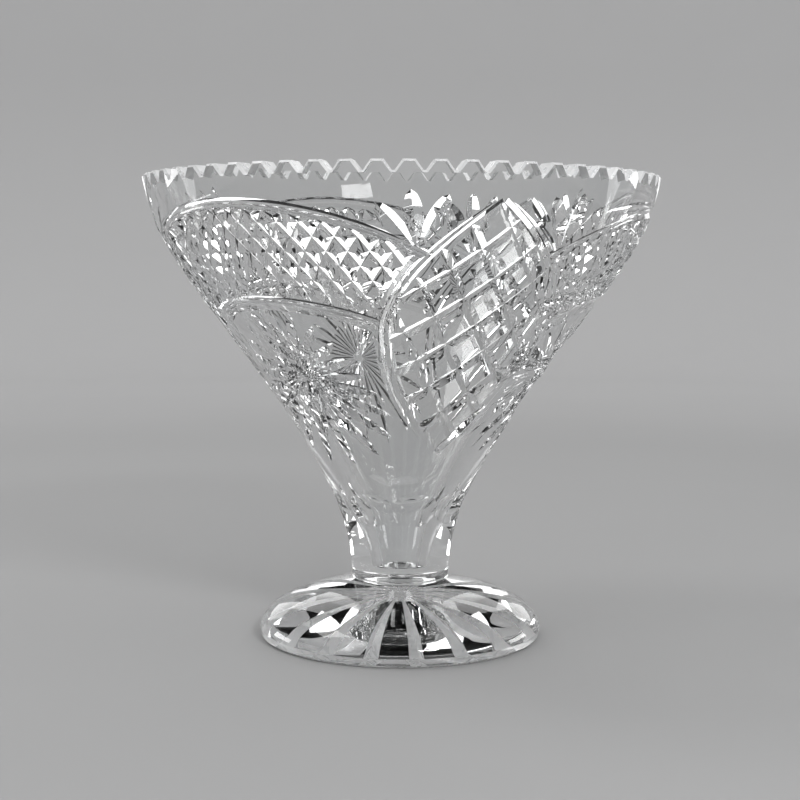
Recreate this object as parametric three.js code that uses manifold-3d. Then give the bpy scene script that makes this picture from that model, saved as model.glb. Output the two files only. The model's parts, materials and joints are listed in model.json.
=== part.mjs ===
// Footed fruit bowl of hand-cut clear lead crystal.
// Millimetres, +Z up. The origin is on the surface that the bowl stands on, under the middle of its foot.

import * as THREE from 'three';
import { mergeVertices } from 'three/addons/utils/BufferGeometryUtils.js';
import Module from 'manifold-3d';

const wasm = await Module();
wasm.setup();

// Foot: a thick domed disc. Its flat top carries the bowl, and its flat underside has a star of V-grooves.
const FOOT_HEIGHT = 28;
const FOOT_RADIUS = 70.8;
const FOOT_EDGE_HEIGHT = 4.5;
const FOOT_BEVEL = 1.2;
const JOIN_RADIUS = 21.8;
const DOME_SHOULDER = 24;
const DOME_DROP = 4;
const DOME_EDGE_RISE = 12.5;

// Star under the foot
const STAR_RAYS = 16;
const STAR_TURN = 8.3;
const STAR_RIM_LAND = 4;
const STAR_GROOVE_WIDTH = 8.5;
const STAR_GROOVE_DEPTH = 2.6;
const STAR_HEART = 0.06;

// Bowl, with its heights measured from the join with the foot
const BOWL_HEIGHT = 200;
const RIM_RADIUS = 127;
const BASE_CORNER = 2.6;
const FLARE_HEIGHT = 52.8;
const FLARE_RADIUS = 38.3;
const FLARE_SLOPE = 0.53;
const RIM_BAND = 25;
const RIM_LEAN = 7.1;
const BAND_SLOPE = 0.42;
const BAND_REACH = 0.38;
const SHOULDER_SLOPE = 0.49;
const NECK_REACH = 0.33;
const LOWER_REACH = 0.45;
const UPPER_REACH = 0.28;

// The shoulder, where the cone turns into the steeper plain band under the rim. The band is slightly barrelled.
const shoulderHeight = BOWL_HEIGHT - RIM_BAND;
const shoulderRadius = RIM_RADIUS - RIM_LEAN;

// Inside of the bowl: a smooth wall that thins from the neck to the rim, over a flat floor
const FLOOR_THICKNESS = 7.5;
const NECK_WALL = 15.6;
const SHOULDER_WALL = 11.9;
const RIM_WALL = 9.3;
const FLOOR_CORNER = 1.2;

// Rim teeth: V-notches with a narrow flat bottom
const TEETH = 60;
const TOOTH_TURN = 1.4;
const NOTCH_WIDTH = 7.8;
const NOTCH_DEPTH = 4.5;
const NOTCH_BOTTOM = 1.1;

// Flutes round the neck, ground with the flat rim of a small wheel
const FLUTES = 9;
const FLUTE_TURN = 13;
const FLUTE_DROP = 13.8;
const FLUTE_WHEEL_RADIUS = 19.5;
const FLUTE_WHEEL_WIDTH = 26;
const FLUTE_DEPTH = 1.9;

// Cut pattern: three equal repeats round the bowl, each mirrored about its pointed oval
const REPEATS = 3;
const OVAL_TURN = 20.6;
const CUT_FLANK = 56;
const TIP_RISE = 8;
const patternTop = shoulderHeight + TIP_RISE;

// Pointed oval, framed by an inner groove and a bolder outer one
const OVAL_LENGTH = 113;
const OVAL_HALF_ANGLE = 24.3;
const OVAL_LOWER_ROUNDNESS = 2.6;
const OVAL_UPPER_ROUNDNESS = 1.5;
const OVAL_GROOVE_DEPTH = 1.5;
const FRAME_OFFSET = 4.2;
const FRAME_GROOVE_DEPTH = 1.5;
const FRAME_LENGTH = 106;

// Blocks inside an oval: two crossing families of straight grooves. Their lean is in degrees from level, and
// their first distance is from the tip of the cone that the wall is part of, on the wall laid flat.
const BLOCK_DEPTH = 1.8;
const BLOCK_RISING_LEAN = 44.3;
const BLOCK_RISING_FIRST = 79.9;
const BLOCK_RISING_STEP = 16.8;
const BLOCK_FALLING_LEAN = 57.8;
const BLOCK_FALLING_FIRST = 56.3;
const BLOCK_FALLING_STEP = 15.4;
const BLOCK_GROOVES = 5;

// Swag between two ovals, from its upper edge groove to its lower one
const SWAG_TOP_FALL = 22.5;
const SWAG_TOP_WIDTH = 5.6;
const SWAG_TOP_DEPTH = 1.5;
const SWAG_BREADTH = 43;
const SWAG_FOOT_FALL = 10;
const SWAG_FOOT_WIDTH = 8.2;
const SWAG_FOOT_DEPTH = 1.6;

// Fan of leaves beside the top of an oval, with its root just outside the oval's frame
const FAN_LEAVES = 3;
const FAN_DROP = 21;
const FAN_GAP = 5.5;
const FAN_REACH = 30.5;
const FAN_SPREAD = 62;
const FAN_LEAN = 0.385;
const FAN_LEAF_DEPTH = 2.9;

// Sunburst of leaves under each swag. The leaves grow longer towards the neck.
const BURST_LEAVES = 21;
const BURST_DROP = 78;
const BURST_HEART = 6;
const BURST_REACH = 34;
const BURST_LONG_REACH = 53;
const BURST_LEAF_DEPTH = 1.9;

// Fineness of the curved surfaces
const SEGMENTS = 60;
const CURVE_STEPS = 5;
const BAND_STEPS = 3;
const LEAF_STEPS = 2;
const CORNER_STEPS = 3;
const WHEEL_SIDES = 24;
const SEARCH_STEPS = 240;
const SURFACE_CLEARANCE = 2;
const END_RISE = 0.2;
const THINNING_TOLERANCE = 0.02;

const glass = new THREE.MeshStandardMaterial({
  color: 0xeef3f5, roughness: 0.04, metalness: 0, transparent: true, opacity: 0.35,
});

const radians = THREE.MathUtils.degToRad;

// A closed solid from a geometry, with shared corners and no triangle of zero size
function solidFrom(geometry) {
  const plain = geometry.clone();
  plain.deleteAttribute('normal');
  plain.deleteAttribute('uv');
  const merged = mergeVertices(plain, 1e-4);
  const corners = [];
  const index = merged.index.array;
  for (let i = 0; i < index.length; i += 3) {
    const [a, b, c] = [index[i], index[i + 1], index[i + 2]];
    if (a !== b && b !== c && c !== a) corners.push(a, b, c);
  }
  return new wasm.Manifold(new wasm.Mesh({
    numProp: 3,
    vertProperties: merged.attributes.position.array,
    triVerts: new Uint32Array(corners),
  }));
}

function geometryFrom(solid) {
  const mesh = solid.getMesh();
  const geometry = new THREE.BufferGeometry();
  geometry.setAttribute('position', new THREE.BufferAttribute(mesh.vertProperties, 3));
  geometry.setIndex(new THREE.BufferAttribute(mesh.triVerts, 1));
  geometry.computeVertexNormals();
  return geometry;
}

// A turned solid about Z from an outline of radius and height
function turned(outline) {
  const geometry = new THREE.LatheGeometry(outline, SEGMENTS);
  geometry.rotateX(Math.PI / 2);
  geometry.rotateZ(radians(TOOTH_TURN));
  return solidFrom(geometry);
}

// The rounded bottom edge of the bowl, from the join out to the side of the base
function baseCorner() {
  const points = [];
  for (let i = 0; i <= CORNER_STEPS; i += 1) {
    const angle = Math.PI / 2 * i / CORNER_STEPS;
    const radius = JOIN_RADIUS + BASE_CORNER * Math.sin(angle);
    points.push(new THREE.Vector2(radius, BASE_CORNER * (1 - Math.cos(angle))));
  }
  return points;
}

// Outer outline of the bowl, from the edge of the join up to the rim
function bowlOutline() {
  const baseRadius = JOIN_RADIUS + BASE_CORNER;
  const neckHandle = NECK_REACH * (FLARE_HEIGHT - BASE_CORNER);
  const wallHeight = shoulderHeight - FLARE_HEIGHT;
  const lowerHandle = LOWER_REACH * wallHeight;
  const upperHandle = UPPER_REACH * wallHeight;
  const neck = new THREE.CubicBezierCurve(
    new THREE.Vector2(baseRadius, BASE_CORNER),
    new THREE.Vector2(baseRadius, BASE_CORNER + neckHandle),
    new THREE.Vector2(FLARE_RADIUS - FLARE_SLOPE * neckHandle, FLARE_HEIGHT - neckHandle),
    new THREE.Vector2(FLARE_RADIUS, FLARE_HEIGHT),
  );
  const wall = new THREE.CubicBezierCurve(
    new THREE.Vector2(FLARE_RADIUS, FLARE_HEIGHT),
    new THREE.Vector2(FLARE_RADIUS + FLARE_SLOPE * lowerHandle, FLARE_HEIGHT + lowerHandle),
    new THREE.Vector2(shoulderRadius - SHOULDER_SLOPE * upperHandle, shoulderHeight - upperHandle),
    new THREE.Vector2(shoulderRadius, shoulderHeight),
  );
  const bandHandle = BAND_REACH * RIM_BAND;
  const band = new THREE.QuadraticBezierCurve(
    new THREE.Vector2(shoulderRadius, shoulderHeight),
    new THREE.Vector2(shoulderRadius + BAND_SLOPE * bandHandle, shoulderHeight + bandHandle),
    new THREE.Vector2(RIM_RADIUS, BOWL_HEIGHT),
  );
  return [
    ...baseCorner(),
    ...neck.getPoints(CURVE_STEPS).slice(1),
    ...wall.getPoints(CURVE_STEPS).slice(1),
    ...band.getPoints(BAND_STEPS).slice(1),
  ];
}

const outline = bowlOutline();

// Outer radius of the bowl at a height above the join
function radiusAt(height) {
  for (let i = 1; i < outline.length; i += 1) {
    const [below, above] = [outline[i - 1], outline[i]];
    if (height <= above.y) {
      return below.x + (above.x - below.x) * (height - below.y) / (above.y - below.y);
    }
  }
  return RIM_RADIUS;
}

// Length of the outline up to a height above the join
function lengthAt(height) {
  let length = 0;
  for (let i = 1; i < outline.length; i += 1) {
    const [below, above] = [outline[i - 1], outline[i]];
    const step = below.distanceTo(above);
    if (height <= above.y) return length + step * (height - below.y) / (above.y - below.y);
    length += step;
  }
  return length;
}

// Height above the join that the outline reaches at a length
function heightAt(target) {
  let length = 0;
  for (let i = 1; i < outline.length; i += 1) {
    const [below, above] = [outline[i - 1], outline[i]];
    const step = below.distanceTo(above);
    if (target <= length + step) return below.y + (above.y - below.y) * (target - length) / step;
    length += step;
  }
  return BOWL_HEIGHT;
}

// The cone that the wall is part of, between the two ends of an oval
const coneFoot = patternTop - OVAL_LENGTH;
const coneRise = lengthAt(patternTop) - lengthAt(coneFoot);
const coneShare = (radiusAt(patternTop) - radiusAt(coneFoot)) / coneRise;
const coneTip = lengthAt(coneFoot) - radiusAt(coneFoot) / coneShare;

// Wall thickness, measured level, at a height above the join
function wallAt(height) {
  if (height <= FLARE_HEIGHT) return NECK_WALL;
  if (height <= shoulderHeight) {
    return THREE.MathUtils.mapLinear(height, FLARE_HEIGHT, shoulderHeight, NECK_WALL, SHOULDER_WALL);
  }
  return THREE.MathUtils.mapLinear(height, shoulderHeight, BOWL_HEIGHT, SHOULDER_WALL, RIM_WALL);
}

function innerOutline() {
  const points = [new THREE.Vector2(RIM_RADIUS - RIM_WALL, BOWL_HEIGHT)];
  const lowest = FLOOR_THICKNESS + FLOOR_CORNER;
  const steps = CURVE_STEPS + 3;
  for (let i = 1; i <= steps; i += 1) {
    const height = BOWL_HEIGHT + (lowest - BOWL_HEIGHT) * i / steps;
    points.push(new THREE.Vector2(radiusAt(height) - wallAt(height), height));
  }
  const floorRadius = radiusAt(FLOOR_THICKNESS) - wallAt(FLOOR_THICKNESS) - FLOOR_CORNER;
  points.push(new THREE.Vector2(floorRadius, FLOOR_THICKNESS));
  points.push(new THREE.Vector2(0, FLOOR_THICKNESS));
  return points;
}

// A point on the outside of the bowl, with the direction that leaves the glass there
function onBowl(degrees, height) {
  const angle = radians(degrees);
  const step = 0.5;
  const slope = (radiusAt(height + step) - radiusAt(height - step)) / (2 * step);
  const out = new THREE.Vector3(Math.sin(angle), -Math.cos(angle), 0);
  const point = out.clone().multiplyScalar(radiusAt(height));
  point.z = height;
  const normal = out.clone();
  normal.z = -slope;
  return { point, normal: normal.normalize() };
}

// A V-shaped cutter along a path of places on the glass. Each place has a point, a normal and a depth. The
// spread is the V's half width for each millimetre of its depth.
function vCutter(places, spread = Math.tan(radians(CUT_FLANK))) {
  const positions = [];
  for (let i = 0; i < places.length; i += 1) {
    const { point, normal, depth } = places[i];
    const before = places[Math.max(i - 1, 0)].point;
    const after = places[Math.min(i + 1, places.length - 1)].point;
    const along = after.clone().sub(before).normalize();
    const side = new THREE.Vector3().crossVectors(normal, along).normalize();
    const half = (depth + SURFACE_CLEARANCE) * spread;
    const top = point.clone().addScaledVector(normal, SURFACE_CLEARANCE);
    const bottom = point.clone().addScaledVector(normal, -depth);
    positions.push(...bottom.toArray());
    positions.push(...top.clone().addScaledVector(side, half).toArray());
    positions.push(...top.clone().addScaledVector(side, -half).toArray());
  }
  const index = [0, 2, 1];
  for (let i = 0; i + 1 < places.length; i += 1) {
    for (let k = 0; k < 3; k += 1) {
      const a = 3 * i + k;
      const b = 3 * i + (k + 1) % 3;
      index.push(a, b, a + 3, b, b + 3, a + 3);
    }
  }
  const last = 3 * (places.length - 1);
  index.push(last, last + 1, last + 2);
  const geometry = new THREE.BufferGeometry();
  geometry.setAttribute('position', new THREE.Float32BufferAttribute(positions, 3));
  geometry.setIndex(index);
  return solidFrom(geometry);
}

// Depth of a cut that fades out at its ends, at a share of its length
function fade(share, depth) {
  return depth * Math.sqrt(Math.max(0, Math.sin(Math.PI * share))) - END_RISE;
}

// Angle of the oval's edge from its axis, at a height above the join
function ovalEdge(height) {
  const half = OVAL_LENGTH / 2;
  const share = (height - patternTop + half) / half;
  const roundness = share < 0 ? OVAL_LOWER_ROUNDNESS : OVAL_UPPER_ROUNDNESS;
  return OVAL_HALF_ANGLE * (1 - Math.abs(share) ** roundness);
}

// Angle that a level distance takes up on the outside of the bowl, at a height above the join
function angleOf(distance, height) {
  return THREE.MathUtils.radToDeg(distance / radiusAt(height));
}

// The two grooves that frame one side of an oval
function ovalCuts(axis, side) {
  const inner = [];
  const outer = [];
  const steps = 2 * CURVE_STEPS;
  for (let i = 0; i <= steps; i += 1) {
    const share = (1 - Math.cos(Math.PI * i / steps)) / 2;
    const height = patternTop - OVAL_LENGTH * share;
    inner.push({ ...onBowl(axis + side * ovalEdge(height), height), depth: OVAL_GROOVE_DEPTH });
    const frameHeight = patternTop - FRAME_LENGTH * share;
    const edge = ovalEdge(frameHeight) + angleOf(FRAME_OFFSET, frameHeight);
    outer.push({ ...onBowl(axis + side * edge, frameHeight), depth: fade(share, FRAME_GROOVE_DEPTH) });
  }
  return [vCutter(inner), vCutter(outer)];
}

// One groove between the blocks of an oval, straight on the wall laid flat
function blockCut(axis, lean, distance) {
  const inside = [];
  for (let i = 0; i <= SEARCH_STEPS; i += 1) {
    const along = 2 * OVAL_LENGTH * (2 * i / SEARCH_STEPS - 1);
    const across = along * Math.cos(lean) - distance * Math.sin(lean);
    const away = along * Math.sin(lean) + distance * Math.cos(lean);
    const angle = THREE.MathUtils.radToDeg(Math.atan2(across, away)) / coneShare;
    const height = heightAt(Math.hypot(across, away) + coneTip);
    const within = height > coneFoot && height < patternTop && Math.abs(angle) < ovalEdge(height);
    if (within) inside.push({ angle, height });
  }
  const places = [];
  for (let i = 0; i <= CURVE_STEPS && inside.length > CURVE_STEPS; i += 1) {
    const { angle, height } = inside[Math.round((inside.length - 1) * i / CURVE_STEPS)];
    places.push({ ...onBowl(axis + angle, height), depth: BLOCK_DEPTH });
  }
  return places.length ? [vCutter(places)] : [];
}

function blockCuts(axis) {
  const cuts = [];
  for (let i = 0; i < BLOCK_GROOVES; i += 1) {
    const rising = BLOCK_RISING_FIRST + BLOCK_RISING_STEP * i;
    const falling = BLOCK_FALLING_FIRST + BLOCK_FALLING_STEP * i;
    cuts.push(...blockCut(axis, radians(BLOCK_RISING_LEAN), rising));
    cuts.push(...blockCut(axis, -radians(BLOCK_FALLING_LEAN), falling));
  }
  return cuts;
}

// One edge groove of a swag. It arches from the frame of one oval to the frame of the next.
function swagEdge(axis, crown, fall, depth, width) {
  const half = 180 / REPEATS - ovalEdge(crown - fall) - angleOf(FRAME_OFFSET, crown - fall);
  const places = [];
  const steps = 2 * CURVE_STEPS;
  for (let i = 0; i <= steps; i += 1) {
    const share = 2 * i / steps - 1;
    places.push({ ...onBowl(axis + half * share, crown - fall * share ** 2), depth });
  }
  return vCutter(places, width / (2 * depth));
}

function swagCuts(axis) {
  return [
    swagEdge(axis, patternTop, SWAG_TOP_FALL, SWAG_TOP_DEPTH, SWAG_TOP_WIDTH),
    swagEdge(axis, patternTop - SWAG_BREADTH, SWAG_FOOT_FALL, SWAG_FOOT_DEPTH, SWAG_FOOT_WIDTH),
  ];
}

// A pointed leaf from a root on the bowl. Its turn is from straight up the wall, towards larger angles.
function leaf(angle, height, turn, start, reach, depth) {
  const places = [];
  for (let i = 0; i <= LEAF_STEPS; i += 1) {
    const share = i / LEAF_STEPS;
    const along = start + (reach - start) * share;
    const slope = radiusAt(height + 1) - radiusAt(height);
    const rise = along * Math.cos(radians(turn)) / Math.hypot(1, slope);
    const across = along * Math.sin(radians(turn));
    const place = onBowl(angle + angleOf(across, height + rise), height + rise);
    places.push({ ...place, depth: fade(share, depth) });
  }
  return vCutter(places);
}

function fanCuts(axis, side) {
  const height = patternTop - FAN_DROP;
  const root = axis + side * (ovalEdge(height) + angleOf(FRAME_OFFSET + FAN_GAP, height));
  const cuts = [];
  for (let i = 0; i < FAN_LEAVES; i += 1) {
    const turn = side * FAN_SPREAD * (i / (FAN_LEAVES - 1) - FAN_LEAN);
    cuts.push(leaf(root, height, turn, 0, FAN_REACH, FAN_LEAF_DEPTH));
  }
  return cuts;
}

function burstCuts(axis) {
  const cuts = [];
  for (let i = 0; i < BURST_LEAVES; i += 1) {
    const turn = 360 * i / BURST_LEAVES;
    const downward = (1 - Math.cos(radians(turn))) / 2;
    const reach = BURST_REACH + (BURST_LONG_REACH - BURST_REACH) * downward ** 2;
    cuts.push(leaf(axis, patternTop - BURST_DROP, turn, BURST_HEART, reach, BURST_LEAF_DEPTH));
  }
  return cuts;
}

// V-notches round the rim, between the teeth
function notchCutters() {
  const widen = 1 + SURFACE_CLEARANCE / NOTCH_DEPTH;
  const half = NOTCH_BOTTOM / 2 + (NOTCH_WIDTH - NOTCH_BOTTOM) / 2 * widen;
  const section = new THREE.Shape([
    new THREE.Vector2(-NOTCH_BOTTOM / 2, BOWL_HEIGHT - NOTCH_DEPTH),
    new THREE.Vector2(NOTCH_BOTTOM / 2, BOWL_HEIGHT - NOTCH_DEPTH),
    new THREE.Vector2(half, BOWL_HEIGHT + SURFACE_CLEARANCE),
    new THREE.Vector2(-half, BOWL_HEIGHT + SURFACE_CLEARANCE),
  ]);
  const length = 3 * RIM_WALL;
  const cutters = [];
  for (let i = 0; i < TEETH; i += 1) {
    const geometry = new THREE.ExtrudeGeometry(section, { depth: length, bevelEnabled: false });
    geometry.rotateX(Math.PI / 2);
    geometry.translate(0, -(RIM_RADIUS - RIM_WALL / 2) + length / 2, 0);
    geometry.rotateZ(radians(TOOTH_TURN + 360 * (i + 0.5) / TEETH));
    cutters.push(solidFrom(geometry));
  }
  return cutters;
}

// The wheels that leave a ring of rounded panels on the neck
function fluteCutters() {
  const cutters = [];
  const { point, normal } = onBowl(0, FLARE_HEIGHT - FLUTE_DROP);
  const centre = point.addScaledVector(normal, FLUTE_WHEEL_RADIUS - FLUTE_DEPTH);
  for (let i = 0; i < FLUTES; i += 1) {
    const radius = FLUTE_WHEEL_RADIUS;
    const geometry = new THREE.CylinderGeometry(radius, radius, FLUTE_WHEEL_WIDTH, WHEEL_SIDES);
    geometry.rotateZ(Math.PI / 2);
    geometry.translate(centre.x, centre.y, centre.z);
    geometry.rotateZ(radians(FLUTE_TURN + 360 * i / FLUTES));
    cutters.push(solidFrom(geometry));
  }
  return cutters;
}

function makeBowl() {
  let solid = turned([new THREE.Vector2(0, 0), ...outline, ...innerOutline()]);
  const cutters = [...notchCutters(), ...fluteCutters()];
  for (let i = 0; i < REPEATS; i += 1) {
    const ovalAxis = OVAL_TURN + 360 * i / REPEATS;
    const swagAxis = ovalAxis + 180 / REPEATS;
    for (const side of [-1, 1]) cutters.push(...ovalCuts(ovalAxis, side), ...fanCuts(ovalAxis, side));
    cutters.push(...blockCuts(ovalAxis), ...swagCuts(swagAxis), ...burstCuts(swagAxis));
  }
  for (const cutter of cutters) solid = solid.subtract(cutter);
  return geometryFrom(solid.asOriginal().simplify(THINNING_TOLERANCE));
}

// Outline of the foot, from the flat underside round the edge and up the dome to the join
function footOutline() {
  const dome = new THREE.CubicBezierCurve(
    new THREE.Vector2(FOOT_RADIUS, FOOT_EDGE_HEIGHT),
    new THREE.Vector2(FOOT_RADIUS - FOOT_BEVEL, FOOT_EDGE_HEIGHT + DOME_EDGE_RISE),
    new THREE.Vector2(JOIN_RADIUS + DOME_SHOULDER, FOOT_HEIGHT - DOME_DROP),
    new THREE.Vector2(JOIN_RADIUS, FOOT_HEIGHT),
  );
  return [
    new THREE.Vector2(0, 0),
    new THREE.Vector2(FOOT_RADIUS - 2 * FOOT_BEVEL, 0),
    new THREE.Vector2(FOOT_RADIUS - FOOT_BEVEL / 2, FOOT_BEVEL),
    ...dome.getPoints(2 * CURVE_STEPS),
    new THREE.Vector2(0, FOOT_HEIGHT),
  ];
}

// One ray of the star under the foot: a V-groove that widens and deepens from the middle outwards
function starRay(turn) {
  const reach = FOOT_RADIUS - STAR_RIM_LAND;
  const half = STAR_GROOVE_WIDTH / 2;
  const section = new THREE.Shape([
    new THREE.Vector2(-half, -SURFACE_CLEARANCE),
    new THREE.Vector2(half, -SURFACE_CLEARANCE),
    new THREE.Vector2(0, STAR_GROOVE_DEPTH),
  ]);
  const geometry = new THREE.ExtrudeGeometry(section, { depth: reach, bevelEnabled: false });
  const position = geometry.attributes.position;
  for (let i = 0; i < position.count; i += 1) {
    const share = Math.max(position.getZ(i) / reach, STAR_HEART);
    position.setX(i, position.getX(i) * (share + SURFACE_CLEARANCE / STAR_GROOVE_DEPTH));
    if (position.getY(i) > 0) position.setY(i, position.getY(i) * share);
  }
  geometry.rotateX(Math.PI / 2);
  geometry.rotateZ(radians(turn));
  return solidFrom(geometry);
}

function makeFoot() {
  let solid = turned(footOutline());
  for (let i = 0; i < STAR_RAYS; i += 1) solid = solid.subtract(starRay(STAR_TURN + 360 * i / STAR_RAYS));
  return geometryFrom(solid);
}

const foot = new THREE.Mesh(makeFoot(), glass);
foot.name = 'foot';

const bowl = new THREE.Mesh(makeBowl(), glass.clone());
bowl.name = 'bowl';
bowl.position.z = FOOT_HEIGHT;

const fruitBowl = new THREE.Group();
fruitBowl.name = 'fruit_bowl';
fruitBowl.add(foot, bowl);

export default fruitBowl;
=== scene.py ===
"""Footed fruit bowl of hand-cut clear crystal, on a plain pale studio floor.

Metres, +Z up. Degrees round the bowl are counted from the side that faces the camera, towards its right.
Heights on the bowl are measured from its join with the foot.
"""

import json
import math

import bpy
import numpy as np
from mathutils import Matrix, Vector

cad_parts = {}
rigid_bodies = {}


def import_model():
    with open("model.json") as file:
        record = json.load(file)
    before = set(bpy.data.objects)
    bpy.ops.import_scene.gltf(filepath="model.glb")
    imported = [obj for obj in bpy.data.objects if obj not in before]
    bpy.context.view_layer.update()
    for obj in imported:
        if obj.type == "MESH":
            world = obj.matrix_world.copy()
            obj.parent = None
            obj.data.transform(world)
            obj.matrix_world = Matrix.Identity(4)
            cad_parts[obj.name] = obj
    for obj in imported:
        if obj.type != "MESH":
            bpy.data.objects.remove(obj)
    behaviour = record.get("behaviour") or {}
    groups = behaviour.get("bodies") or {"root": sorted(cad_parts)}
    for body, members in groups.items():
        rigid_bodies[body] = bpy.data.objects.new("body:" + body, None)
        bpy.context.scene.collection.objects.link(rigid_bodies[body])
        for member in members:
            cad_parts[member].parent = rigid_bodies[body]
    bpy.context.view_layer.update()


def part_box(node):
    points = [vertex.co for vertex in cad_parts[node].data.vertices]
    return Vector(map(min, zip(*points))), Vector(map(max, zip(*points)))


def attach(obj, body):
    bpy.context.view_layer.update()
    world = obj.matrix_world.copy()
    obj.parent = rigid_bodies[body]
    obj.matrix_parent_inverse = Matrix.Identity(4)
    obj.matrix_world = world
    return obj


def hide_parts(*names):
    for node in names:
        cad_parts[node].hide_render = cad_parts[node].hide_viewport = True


# Outline of the bowl
RIM_BAND = 0.025
RIM_LEAN = 0.0071
BAND_SLOPE = 0.42
BAND_REACH = 0.38
FLARE_HEIGHT = 0.0528
FLARE_RADIUS = 0.0383
FLARE_SLOPE = 0.53
SHOULDER_SLOPE = 0.49
NECK_REACH = 0.33
LOWER_REACH = 0.45
UPPER_REACH = 0.28
JOIN_RADIUS = 0.0218
BASE_CORNER = 0.0026

# Inside of the bowl
FLOOR_THICKNESS = 0.0075
FLOOR_CORNER = 0.0012
NECK_WALL = 0.0156
SHOULDER_WALL = 0.0119
RIM_WALL = 0.0093

# Rim teeth
TEETH = 60
TOOTH_TURN = 1.4
NOTCH_WIDTH = 0.0078
NOTCH_DEPTH = 0.0045
NOTCH_BOTTOM = 0.0011
TOOTH_BEVEL = 0.001

# Flutes round the neck, ground with the flat rim of a small wheel
FLUTES = 9
FLUTE_TURN = 13
FLUTE_DROP = 0.0138
FLUTE_WHEEL_RADIUS = 0.0195
FLUTE_WHEEL_WIDTH = 0.026
FLUTE_DEPTH = 0.0019

# Cut pattern: three equal repeats, each mirrored about its pointed oval
REPEATS = 3
HALF_REPEAT = 180 / REPEATS
OVAL_TURN = 20.6
SWAG_TURN = OVAL_TURN - HALF_REPEAT
CUT_FLANK = math.radians(56)
TIP_RISE = 0.008
LEAST_DEPTH = 0.00002

# Pointed oval and its frame
OVAL_LENGTH = 0.113
OVAL_HALF_ANGLE = 24.3
OVAL_LOWER_ROUNDNESS = 2.6
OVAL_UPPER_ROUNDNESS = 1.5
OVAL_GROOVE_DEPTH = 0.0015
FRAME_OFFSET = 0.0042
FRAME_GROOVE_DEPTH = 0.0015
FRAME_LENGTH = 0.106

# Blocks inside the oval: two crossing families of straight grooves. Their lean is in degrees from level.
# Their first distance is from the tip of the cone that the wall is part of, on the wall laid flat.
BLOCK_DEPTH = 0.0018
BLOCK_RISING = {"lean": 44.3, "first": 0.0799, "step": 0.0168, "count": 5}
BLOCK_FALLING = {"lean": -57.8, "first": 0.0563, "step": 0.0154, "count": 5}

# Swag between two ovals, filled with sharp diamonds
SWAG_TOP_FALL = 0.0225
SWAG_TOP_WIDTH = 0.0056
SWAG_TOP_DEPTH = 0.0013
SWAG_BREADTH = 0.043
SWAG_FOOT_FALL = 0.010
SWAG_FOOT_WIDTH = 0.0082
SWAG_FOOT_DEPTH = 0.0014
DIAMOND_SLOPE = 0.0025
DIAMOND_STEP = 5.0
DIAMOND_DEPTH = 0.0021
DIAMOND_GROOVES = 11
DIAMOND_SIDE_GAP = 0.0015
DIAMOND_TOP_GAP = 0.3 * SWAG_TOP_WIDTH
DIAMOND_FOOT_GAP = 0.36 * SWAG_FOOT_WIDTH

# Pointed leaves, which are widest beyond their middle
LEAF_BELLY = 1.25

# Fan of leaves beside the top of an oval
FAN_LEAVES = 3
FAN_DROP = 0.021
FAN_GAP = 0.0055
FAN_REACH = 0.0305
FAN_SPREAD = 62
FAN_LEAN = 0.385
FAN_LEAF_DEPTH = 0.0029

# Sunburst under each swag
BURST_LEAVES = 21
BURST_DROP = 0.078
BURST_HEART = 0.002
BURST_SHORT_SHARE = 0.6
BURST_SIDE_REACH = 0.033
BURST_UP_REACH = 0.042
BURST_DOWN_REACH = 0.053
BURST_UP_NARROWNESS = 4
BURST_DOWN_NARROWNESS = 1.2
BURST_LEAF_DEPTH = 0.0019

# Foot
FOOT_EDGE_HEIGHT = 0.0045
FOOT_BEVEL = 0.0012
DOME_SHOULDER = 0.024
DOME_DROP = 0.004
DOME_EDGE_RISE = 0.0125
JOIN_OVERLAP = 0.00015
STAR_RAYS = 16
STAR_TURN = 8.3
STAR_RIM_LAND = 0.004
STAR_GROOVE_WIDTH = 0.0085
STAR_GROOVE_DEPTH = 0.0026
STAR_HEART = 0.06
STAR_END_FALL = 0.6

# Fineness
SPIN_STEPS = 240
CURVE_STEPS = 26
INSIDE_STEPS = 60
BASE_CORNER_STEPS = 6
FLOOR_CORNER_STEPS = 4
GROOVE_STEPS = 48
HOLLOW_STEPS = 8
LEAF_STEPS = 14
WHEEL_STEPS = 160
BLOCK_SAMPLES, BLOCK_POINTS, BLOCK_LEAST = 901, 22, 12
DIAMOND_SAMPLES, DIAMOND_POINTS, DIAMOND_LEAST = 481, 14, 6

# Room that a cutter takes beyond the glass, and the little by which the bowl stays inside the frame's box
CLEARANCE = 0.0008
CAD_MARGIN = 0.00001

# Shading: edges sharper than the first angle stay crisp. A face has the normals of the turned form where
# it lies on that form, within the tolerance and the second angle. A metre keeps other surfaces out.
SMOOTH_ANGLE = math.radians(16)
SURFACE_TOLERANCE = 0.00006
SURFACE_ANGLE = math.radians(9)
OTHER_SURFACE = 1.0
TINY = 1e-9

# Glass. The satin is where the wheel left it slightly frosted: the notches and bevels of the rim, and the
# star under the foot.
GLASS_INDEX = 1.545
GLASS_TINTS = (0.955, 0.965, 0.97), (0.985, 0.985, 0.98)
SMEAR_NOISE = {"scale": 26, "detail": 5}
SMEAR_START, SMEAR_END = 0.55, 0.85
SMEAR_ROUGHNESS = 0.03
WAVE_NOISE = {"scale": 70, "detail": 2}
BOWL_WAVE = 0.00002
FOOT_WAVE = 0.00003
SATIN_CLEARNESS = 0.35
SATIN_TINTS = (0.9, 0.91, 0.92), (0.98, 0.98, 0.98)
SATIN_ROUGHNESS = 0.3
SATIN_UNEVENNESS = 0.2
SCRATCH_NOISE = {"scale": 240, "detail": 4}
TINT_START, TINT_END = 0.3, 0.7

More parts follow.
